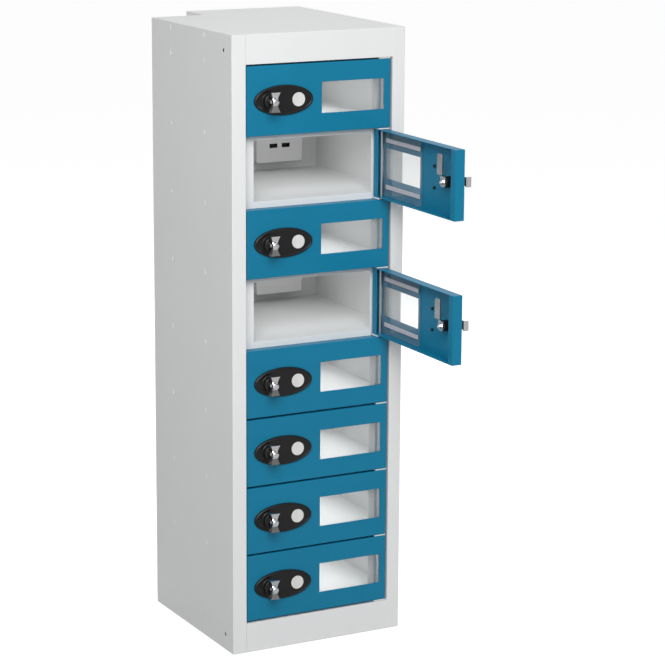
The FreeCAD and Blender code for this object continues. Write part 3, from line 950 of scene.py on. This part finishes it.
@dataclass
class Locks:
    """Oval plates with number discs, wing turns, cams and nuts.

    The profiles are in millimetres: inset and height for the rim, radius and height above the ferrule's end
    for the ferrule and above the door for the foot, radius and drop from the boss's front for the shoulder,
    inset and drop from the plate's front for the disc.
    """

    locker: Locker
    rim: tuple[Pair, ...] = (
        (0.0, 0.0), (0.0, 1.5), (0.25, 2.5), (0.8, 3.3), (1.6, 3.8), (2.4, 4.0),
        (3.1, 3.95), (3.6, 3.7), (4.0, 3.4), (4.8, 3.3),
    )
    ferrule: tuple[Pair, ...] = ((8.5, 0.0), (9.0, 0.5))
    boss_foot: tuple[Pair, ...] = (
        (9.0, 0.2), (13.6, 0.2), (13.6, 3.2), (12.8, 3.8), (12.2, 4.8), (12.0, 6.0),
    )
    boss_shoulder: tuple[Pair, ...] = (
        (12.0, 1.8), (11.7, 0.9), (11.1, 0.3), (10.2, 0.0), (7.6, 0.0), (7.2, 0.4), (6.4, 0.5),
    )
    disc_edge: tuple[Pair, ...] = ((0.0, 0.4), (0.12, 0.12), (0.4, 0.0), (1.2, 0.0), (1.4, 0.12))
    plate_front: float = mm(4.0)
    disc_radius: float = mm(11.0)
    disc_thickness: float = mm(1.2)
    disc_fit: float = mm(0.15)
    bore_radius: float = mm(4.58)
    peg_radius: float = mm(2.5)
    peg_spread: float = mm(17.0)
    peg_reach: float = mm(4.0)
    peg_chamfer: float = mm(0.6)
    peg_root: float = mm(1.0)
    peg_sides: int = 32
    wing_thickness: float = mm(7.0)
    wing_waist: float = mm(8.0)
    wing_corner: float = mm(2.2)
    wing_edge: float = mm(1.2)
    wing_flat: float = mm(6.0)
    wing_lift: float = mm(1.9)
    hub_height: float = mm(4.0)
    hub_radius: float = mm(5.5)
    hub_chamfer: float = mm(1.3)
    stem_radius: float = mm(5.0)
    spindle_radius: float = mm(4.5)
    stud_radius: float = mm(2.5)
    stud_chamfer: float = mm(0.5)
    stem_chamfer: float = mm(0.4)
    end_play: float = mm(0.3)
    shoulder: float = mm(14.5)
    sunk: float = mm(0.05)
    hub_margin: float = mm(0.2)
    end_zone: float = mm(0.5)
    cam_corner: float = mm(5.0)
    cam_edge: float = mm(0.4)
    numeral_height: float = mm(9.0)
    numeral_depth: float = mm(0.3)
    numeral_share: float = 0.7
    disc_dish: float = mm(0.12)
    sides: int = 96

    def __post_init__(self) -> None:
        """Reads the lock's places from the first door."""
        low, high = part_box("lock_plate_1")
        self.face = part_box("door_panel_1")[0].y
        self.half_length = (high.x - low.x) / 2
        self.half_height = (high.z - low.z) / 2
        self.middle = Vector(((low.x + high.x) / 2, self.face, (low.z + high.z) / 2))
        self.boss_front = self.face - low.y
        self.ferrule_reach = high.y - self.face
        self.spindle = Vector(self.locker.joints["lock_1_turn"]["pos_m"])
        self.disc = Vector((2 * self.middle.x - self.spindle.x, self.face, self.middle.z))

    def on_face(self, spot: Vector) -> Matrix:
        """Stands a form on the door's front at a spot, pointing to the front."""
        return Matrix.Translation(spot) @ FACING_FRONT

    def stand(self, name: str, rings: Sequence[Ring], spot: Vector) -> Piece:
        """Builds a form up from its rings and stands it on the door's front at a spot."""
        return settle(raise_rings(name, rings, self.sides), self.on_face(spot))

    def oval(self) -> Piece:
        """Oval plate with a rounded rim round a sunk field.

        Returns:
            The plate without its boss.
        """
        rings = [
            Ring(self.half_length - mm(inset), self.half_height - mm(inset), mm(height))
            for inset, height in self.rim
        ]
        return self.stand("lock_oval", rings, self.middle)

    def boss(self) -> Piece:
        """Round boss with a flared foot, a soft shoulder and the ferrule behind the door.

        Returns:
            The boss, not yet bored.
        """
        back = -self.ferrule_reach / MILLIMETRE
        front = self.boss_front / MILLIMETRE
        rings = rounds(
            *((radius, back + height) for radius, height in self.ferrule),
            *self.boss_foot,
            *((radius, front - drop) for radius, drop in self.boss_shoulder),
        )
        return self.stand("lock_boss", rings, self.spindle)

    def peg(self, upward: int) -> Piece:
        """Fixing peg that passes through the door behind the number disc.

        Args:
            upward: 1 for the upper peg, -1 for the lower one.

        Returns:
            The peg.
        """
        slim = self.peg_radius - self.peg_chamfer
        rings = [
            Ring(slim, slim, -self.peg_reach),
            Ring(self.peg_radius, self.peg_radius, self.peg_chamfer - self.peg_reach),
            Ring(self.peg_radius, self.peg_radius, self.peg_root),
        ]
        spot = self.disc + Vector((0, 0, upward * self.peg_spread))
        return settle(raise_rings("lock_peg", rings, self.peg_sides), self.on_face(spot))

    def bar(self, name: str, radius: float, back: float, front: float, spot: Vector) -> Piece:
        """Plain round tool for a hole through the lock."""
        rings = [Ring(radius, radius, back), Ring(radius, radius, front)]
        return self.stand(name, rings, spot)

    def plate(self) -> Piece:
        """Plate, boss, ferrule and pegs as one moulding, with its bore and disc recess.

        Returns:
            The moulding on the first door.
        """
        plate = self.oval()
        for part in (self.boss(), self.peg(1), self.peg(-1)):
            combine(plate, part, "UNION")
        bore = self.bar("bore", self.bore_radius, -2 * self.ferrule_reach, 2 * self.boss_front, self.spindle)
        combine(plate, bore, "DIFFERENCE")
        seat = self.plate_front - self.disc_thickness
        recess = self.bar("recess", self.disc_radius + self.disc_fit, seat, 2 * self.plate_front, self.disc)
        combine(plate, recess, "DIFFERENCE")
        return smooth(plate)

    def number_disc(self, door: int) -> Piece:
        """Number disc with a soft edge and an engraved numeral.

        Args:
            door: Number on the disc.

        Returns:
            The disc on the first door.
        """
        radius = self.disc_radius / MILLIMETRE
        front = self.plate_front / MILLIMETRE
        seat = front - self.disc_thickness / MILLIMETRE
        edge = ((radius - inset, front - drop) for inset, drop in self.disc_edge)
        rings = rounds((radius, seat), *edge)
        disc = raise_rings(f"number_disc_{door}", rings, self.sides)
        numeral = added("numeral", bpy.ops.object.text_add)
        numeral.data.body = str(door)
        numeral.data.align_x, numeral.data.align_y = "CENTER", "CENTER"
        numeral.data.size = self.numeral_height / self.numeral_share
        numeral.data.extrude = self.numeral_depth / 2
        bpy.ops.object.convert(target="MESH")
        numeral = bpy.context.object
        settle(numeral, Matrix.Translation((0, 0, self.plate_front - self.disc_dish)))
        combine(disc, numeral, "DIFFERENCE")
        return settle(smooth(disc), self.on_face(self.disc))

    def wing(self) -> Piece:
        """Wing turn: a waisted wing with lifted ends and rounded edges on its turned shaft.

        Returns:
            The wing turn on the first door, not yet smoothed.
        """
        low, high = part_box("lock_turn_1")
        front = low.y + self.hub_height
        back = front + self.wing_thickness
        wing = block("wing", Vector((low.x, front, low.z)), Vector((high.x, back, high.z)))
        half_length, half_width = (high.z - low.z) / 2, (high.x - low.x) / 2
        slope = self.wing_lift / (half_length - self.wing_flat)

        def face(spot: Vector) -> float:
            """Y of the wing's front at a spot, which comes forward past the flat round the hub."""
            return front - slope * max(0.0, abs(spot.z - self.spindle.z) - self.wing_flat)

        with editing(wing):
            for side in (-1, 1):
                bpy.ops.mesh.select_all(action="SELECT")
                cut = self.spindle + Vector((0, 0, side * self.wing_flat))
                bpy.ops.mesh.bisect(plane_co=cut, plane_no=(0, 0, 1))
            bpy.ops.mesh.select_all(action="DESELECT")
            choose_edges(wing, lambda a, b: abs(a.z - b.z) < TOUCHING and max(a.y, b.y) < front + TOUCHING)
            bpy.ops.transform.translate(value=(0, -self.wing_lift, 0))
        bite = half_width - self.wing_waist / 2
        radius = (half_length ** 2 + bite ** 2) / (2 * bite)
        for side in (-1, 1):
            spot = Vector((self.spindle.x + side * (self.wing_waist / 2 + radius), front, self.spindle.z))
            tool = self.bar("waist", radius, -2 * self.wing_thickness, self.wing_thickness, spot)
            combine(wing, tool, "DIFFERENCE")
        combine(wing, self.shaft(), "UNION")
        far = self.hub_margin + max(self.hub_radius, self.stem_radius)

        def across(first: Vector, second: Vector) -> bool:
            """Says whether an edge is one of the wing's end corners."""
            return abs(first.y - second.y) > self.wing_thickness / 2 and min(
                abs(end.z - self.spindle.z) for end in (first, second)) > half_length - self.end_zone

        def outline(first: Vector, second: Vector) -> bool:
            """Says whether an edge runs round the wing's front or back, clear of its hub."""
            return all(
                min(abs(end.y - face(end)), abs(end.y - back)) < NEAR
                and (end - self.spindle).xz.length > far for end in (first, second)
            )

        round_edges(wing, self.wing_corner, Facets.CORNER, across)
        return round_edges(wing, self.wing_edge, Facets.RIM, outline)

    def shaft(self) -> Piece:
        """Hub, stem, spindle and stud turned about the lock's axis.

        Returns:
            The shaft on the first door.
        """
        low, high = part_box("lock_turn_1")
        face = self.face - low.y
        wing_front = face - self.hub_height
        wing_back = wing_front - self.wing_thickness
        base = self.boss_front + self.end_play
        soft = self.hub_chamfer
        neck = self.wing_waist / 2 - self.sunk
        tip = self.face - high.y
        steps = [
            (self.stud_radius - self.stud_chamfer, tip), (self.stud_radius, tip + self.stud_chamfer),
            (self.stud_radius, -self.shoulder), (self.spindle_radius, -self.shoulder),
            (self.spindle_radius, base), (self.stem_radius - self.stem_chamfer, base),
            (self.stem_radius, base + self.stem_chamfer),
            (self.stem_radius, wing_back + self.sunk), (neck, wing_back + self.sunk),
            (neck, wing_front - self.sunk), (self.hub_radius, wing_front - self.sunk),
            (self.hub_radius, face - soft), (self.hub_radius - soft / 4, face - soft / 2),
            (self.hub_radius - soft, face), (self.hub_radius - 2 * soft, face),
        ]
        rings = [Ring(radius, radius, height) for radius, height in steps]
        return self.stand("lock_shaft", rings, self.spindle)

    def cam(self) -> Piece:
        """Cranked cam with rounded ends, and its nut.

        Returns:
            The cam and nut on the first door.
        """
        node = "lock_cam_1"
        low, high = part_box(node)
        cam = self.locker.copy_node(node)
        round_edges(cam, self.cam_corner, Facets.END, lambda a, b: on_end(a, b, low, high))
        return smooth(round_edges(cam, self.cam_edge, Facets.EDGE))

    def build(self) -> None:
        """Forms one of each piece and sets a copy of it on every door."""
        plate, turn, cam = self.plate(), smooth(self.wing()), self.cam()
        for door in self.locker.doors:
            fixed, turning = self.locker.door_turn(door), self.locker.lock_turn(door)
            body, lock = f"door_{door}", f"lock_{door}"
            own_plate = duplicate(plate, f"oval_plate_{door}", fixed)
            self.locker.dress(own_plate, BLACK_PLASTIC, body, f"lock_plate_{door}")
            self.locker.dress(settle(self.number_disc(door), fixed), DISC_METAL, body)
            own_turn = duplicate(turn, f"wing_turn_{door}", turning)
            self.locker.dress(own_turn, CHROME, lock, f"lock_turn_{door}")
            own_cam = duplicate(cam, f"crank_cam_{door}", turning)
            self.locker.dress(own_cam, ZINC, lock, f"lock_cam_{door}")
        for pattern in (plate, turn, cam):
            bpy.data.objects.remove(pattern)


@dataclass
class Charging:
    """Surface boxes, faceplates and charging ports on the back of every compartment."""

    locker: Locker
    corner_radius: float = mm(4.0)
    face_radius: float = mm(1.2)
    edge_radius: float = mm(0.3)
    port_edge: float = mm(0.15)
    outline_length: float = mm(30.0)

    def build(self) -> None:
        """Forms and dresses the boxes, faceplates and ports."""
        for node in ("socket_boxes", "socket_plates"):
            low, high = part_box(node)
            piece = self.locker.copy_node(node)
            round_edges(piece, self.corner_radius, Facets.CORNER, lambda a, b: on_end(a, b, low, high))
            if node == "socket_plates":
                round_edges(piece, self.face_radius, Facets.BEND, lambda a, b: self.on_rim(a, b, low, high))
            round_edges(piece, self.edge_radius, Facets.EDGE)
            self.locker.dress(smooth(piece), SOCKET_WHITE, "cabinet", node)
        self.locker.soften("usb_ports", PORT_BLACK, self.port_edge, Facets.CHAMFER)

    def on_rim(self, first: Vector, second: Vector, low: Vector, high: Vector) -> bool:
        """Says whether an edge is on the front rim of a faceplate.

        Args:
            first, second: Ends of the edge.
            low, high: Corners of the box round all the faceplates.

        Returns:
            True for an edge of a faceplate's outline, False for one of a port's slot.
        """
        slot_zone = (low.x + self.corner_radius * 2, high.x - self.corner_radius * 2)
        long_edge = (first - second).length > self.outline_length
        outside = any(not slot_zone[0] < end.x < slot_zone[1] for end in (first, second))
        return both_at(first, second, Y, low.y) and (outside or long_edge)


@dataclass
class RearWiring:
    """Duct behind the cabinet with its screws, taps, cable and gland."""

    locker: Locker
    bend_radius: float = mm(0.9)
    edge_radius: float = mm(0.3)
    cross_width: float = mm(1.1)
    cross_length: float = mm(4.4)
    cross_depth: float = mm(1.0)
    head_radius: float = mm(0.7)

    def build(self) -> None:
        """Forms and dresses the duct and everything in it."""
        low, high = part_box("rear_duct")

        def duct_bend(first: Vector, second: Vector) -> bool:
            """Says whether an edge runs along an outer edge of the duct."""
            return on_box_edge(first, second, low, high) and max(first.y, second.y) > low.y + TOUCHING

        self.locker.soften("rear_duct", CABINET_PAINT, self.bend_radius, Facets.BEND, duct_bend)
        for node, finish in (
            ("tap_connectors", TAP_GREY), ("supply_cable", CABLE_BLACK), ("mains_gland", BLACK_PLASTIC),
        ):
            self.locker.soften(node, finish, self.edge_radius)
        self.locker.dress(smooth(self.screws()), ZINC, "cabinet", "duct_screws")

    def screws(self) -> Piece:
        """Pan-head screws of the duct, each with a softened head and a cross recess.

        Returns:
            All the screws as one object.
        """
        group = round_edges(self.locker.copy_node("duct_screws"), self.head_radius, Facets.BEND)
        activate(group)
        bpy.ops.mesh.separate(type="LOOSE")
        pieces = list(bpy.context.selected_objects)
        for screw in pieces:
            corners = [corner.co for corner in screw.data.vertices]
            middle = Vector([
                (min(corner[axis] for corner in corners) + max(corner[axis] for corner in corners)) / 2
                for axis in (X, Y, Z)
            ])
            middle.y = max(corner.y for corner in corners)
            for size in ((self.cross_length, self.cross_width), (self.cross_width, self.cross_length)):
                half = Vector((size[0] / 2, self.cross_depth, size[1] / 2))
                combine(screw, block("cross", middle - half, middle + half), "DIFFERENCE")
        return join(pieces)


# The studio


@dataclass
class AreaLamp:
    """Soft rectangular lamp aimed at a point."""

    name: str
    place: Vector
    aim: Vector
    size: Pair
    power: float
    seen: bool = True
    spread: float = math.pi

    def build(self) -> None:
        """Hangs the lamp."""
        light = bpy.data.lights.new(self.name, "AREA")
        light.shape = "RECTANGLE"
        light.size, light.size_y = self.size
        light.energy = self.power
        light.spread = self.spread
        lamp = bpy.data.objects.new(self.name, light)
        lamp.location = self.place
        lamp.rotation_euler = (self.aim - self.place).to_track_quat("-Z", "Y").to_euler()
        lamp.visible_camera = False
        lamp.visible_glossy = self.seen
        lamp.visible_transmission = False
        bpy.context.scene.collection.objects.link(lamp)


@dataclass
class Studio:
    """White sweep, a soft key lamp, lit compartments and the camera at the photograph's view."""

    locker: Locker
    azimuth: float = 28.085
    elevation: float = 12.869
    roll: float = 0.347
    camera_place: Triple = (-1.8174, -3.6381, 1.4105)
    focal_pixels: float = 2506.3
    picture_pixels: float = 665.0
    sensor: float = 36.0
    floor_size: float = 60.0
    floor_drop: float = mm(0.5)
    floor_glow: float = 0.79
    floor_colour: float = 0.55
    # painted shadow: brightness of the floor's glow, as reflections see it, at the object's foot
    floor_near: float = 0.04
    floor_front: float = 0.45
    shaded_reach: Pair = (0.3, 6.0)
    bright_reach: Pair = (-2.5, 2.0)
    ambient: float = 0.42
    backdrop: float = 0.8
    dark_room: float = 0.16
    bright_side: Triple = (-0.61, 0.36, 0.71)
    bright_turn: Pair = (-0.7, 0.3)
    key_place: Triple = (-1.15, -2.5, 2.3)
    key_aim: Triple = (0.0, -0.18, 0.72)
    key_size: Pair = (2.2, 1.6)
    key_power: float = 78.0
    rear_place: Triple = (1.6, 2.0, 1.9)
    rear_aim: Triple = (0.0, 0.1, 0.5)
    rear_size: Pair = (1.4, 1.4)
    rear_power: float = 32.0
    inner_size: Pair = (mm(240.0), mm(190.0))
    inner_power: float = 0.15
    inner_power_open: float = 0.07
    inner_spread: float = math.radians(72)
    inner_setback: float = mm(140.0)
    inner_rise: float = mm(52.0)
    inner_aim: Triple = (0.0, 0.01, -1.0)

    def camera(self) -> None:
        """Sets the camera where the photograph was taken from."""
        azimuth, elevation = math.radians(self.azimuth), math.radians(self.elevation)
        forward = Vector((
            math.sin(azimuth) * math.cos(elevation),
            math.cos(azimuth) * math.cos(elevation),
            -math.sin(elevation),
        ))
        data = bpy.data.cameras.new("camera")
        data.sensor_width = self.sensor
        data.lens = self.focal_pixels / self.picture_pixels * self.sensor
        camera = bpy.data.objects.new("camera", data)
        turn = forward.to_track_quat("-Z", "Y").to_matrix() @ Matrix.Rotation(math.radians(self.roll), 3, "Z")
        camera.rotation_euler = turn.to_euler()
        camera.location = self.camera_place
        bpy.context.scene.collection.objects.link(camera)
        bpy.context.scene.camera = camera

    def floor(self) -> None:
        """Lays the pale floor, white to the eye, with the object's shadow on it."""
        floor = added("floor", bpy.ops.mesh.primitive_plane_add, size=self.floor_size,
                      location=(0, 0, -self.floor_drop))
        wiring = Wiring("floor_sweep")
        strength = self.per_ray(wiring, plain=0.0, glare=self.floor_glare(wiring), seen=1.0)
        glow = wiring.add("ShaderNodeEmission", {
            "Color": WHITE, "Strength": wiring.calculate("MULTIPLY", strength, self.floor_glow),
        })
        matt = wiring.add("ShaderNodeBsdfDiffuse", {"Color": grey(self.floor_colour)})
        both = wiring.add("ShaderNodeAddShader", {0: matt.outputs["BSDF"], 1: glow.outputs["Emission"]})
        floor.data.materials.append(wiring.show(both.outputs["Shader"]))
        floor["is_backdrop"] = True

    def floor_glare(self, wiring: Wiring) -> Socket:
        """Brightness of the floor in a reflection, with a painted shadow round the object's foot: the floor's
        glow for reflected rays is dimmed near the object by distance alone.

        Args:
            wiring: Node tree of the floor.

        Returns:
            The brightness.
        """
        reach = wiring.add("ShaderNodeVectorMath", {0: wiring.place}, operation="LENGTH")
        # painted shadow: the reflected floor glow is dimmed by distance from the object, not cast by it
        painted_shadow_factor = self.rise(wiring, reach.outputs["Value"], self.shaded_reach, self.floor_near)
        side = self.lit_side(wiring, wiring.place, self.bright_reach, self.floor_front)
        return wiring.calculate("MULTIPLY", painted_shadow_factor, side)

    def lit_side(self, wiring: Wiring, place: Socket, ends: Pair, least: float) -> Socket:
        """Brightness in a reflection, which falls towards the dark room in front of the sweep.

        Args:
            wiring: Node tree to add to.
            place: Place on the floor, or direction into the world.
            ends: How far towards the bright side the dark ends and the full white begins.
            least: Brightness at the dark end.

        Returns:
            The brightness.
        """
        along = wiring.add("ShaderNodeVectorMath", {0: place, 1: self.bright_side}, operation="DOT_PRODUCT")
        return self.rise(wiring, along.outputs["Value"], ends, least)

    @staticmethod
    def rise(wiring: Wiring, value: Socket, ends: Pair, least: float) -> Socket:
        """A soft rise to full white.

        Args:
            wiring: Node tree to add to.
            value: What it follows.
            ends: Values where the rise begins and ends.
            least: Brightness before the rise.

        Returns:
            The brightness.
        """
        ramp = wiring.add("ShaderNodeMapRange", {
            "Value": value, "From Min": ends[0], "From Max": ends[1], "To Min": least, "To Max": 1.0,
        }, interpolation_type="SMOOTHSTEP")
        return ramp.outputs["Result"]

    @staticmethod
    def per_ray(wiring: Wiring, plain: float, glare: Socket, seen: float) -> Socket:
        """Brightness by the kind of ray that asks for it.

        Args:
            wiring: Node tree to add to.
            plain: Brightness as a light on the object.
            glare: Brightness in a reflection.
            seen: Brightness to the eye, also through a pane.

        Returns:
            The brightness.
        """
        rays = wiring.add("ShaderNodeLightPath").outputs
        mirrored = wiring.mix(rays["Is Glossy Ray"], plain, glare)
        straight = wiring.calculate("MAXIMUM", rays["Is Camera Ray"], rays["Is Transmission Ray"])
        unscattered = wiring.calculate("LESS_THAN", rays["Diffuse Depth"], FIRST_BOUNCE)
        return wiring.mix(wiring.calculate("MULTIPLY", straight, unscattered), mirrored, seen)

    def world(self) -> None:
        """White backdrop to the eye, with an even soft light and a darker room behind the camera."""
        world = bpy.data.worlds.new("studio")
        bpy.context.scene.world = world
        world.use_nodes = True
        wiring = Wiring.of_tree(world.node_tree)
        direction = wiring.add("ShaderNodeTexCoord").outputs["Generated"]
        glare = self.lit_side(wiring, direction, self.bright_turn, self.dark_room)
        strength = self.per_ray(wiring, plain=self.ambient, glare=glare, seen=1 / self.backdrop)
        light = wiring.add("ShaderNodeBackground", {"Color": grey(self.backdrop), "Strength": strength})
        wiring.add("ShaderNodeOutputWorld", {"Surface": light.outputs["Background"]})

    def lamps(self) -> None:
        """Hangs the key lamp, a fill behind and a small lamp in every compartment."""
        AreaLamp("key", Vector(self.key_place), Vector(self.key_aim), self.key_size, self.key_power).build()
        AreaLamp("rear_fill", Vector(self.rear_place), Vector(self.rear_aim), self.rear_size,
                 self.rear_power, seen=False).build()
        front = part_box("door_post_left")[0].y
        for door in self.locker.doors:
            hinge = self.locker.joints[f"door_{door}_hinge"]
            stands_open = hinge["range_deg"][0] < 0
            spot = Vector((0, front + self.inner_setback, hinge["pos_m"][2] + self.inner_rise))
            AreaLamp(
                f"inner_{door}", spot, spot + Vector(self.inner_aim), self.inner_size,
                self.inner_power_open if stands_open else self.inner_power, seen=False,
                spread=math.pi if stands_open else self.inner_spread,
            ).build()

    def build(self) -> None:
        """Sets the whole studio."""
        self.camera()
        self.floor()
        self.world()
        self.lamps()
        bpy.context.scene.view_settings.view_transform = "Standard"


def main() -> None:
    """Dresses the locker, sets the studio and measures the boxes of the model and of the dressed pieces."""
    logging.basicConfig(level=logging.INFO, format="%(name)s: %(message)s")
    locker = Locker()
    for assembly in (CabinetShell, HingeLine, Doors, Locks, Charging, RearWiring, Studio):
        assembly(locker).build()
    boxes = {"cad": locker.cad_box, "visual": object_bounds()}
    {name: [list(corner) for corner in box] for name, box in boxes.items()}


if __name__ == "__main__":
    main()
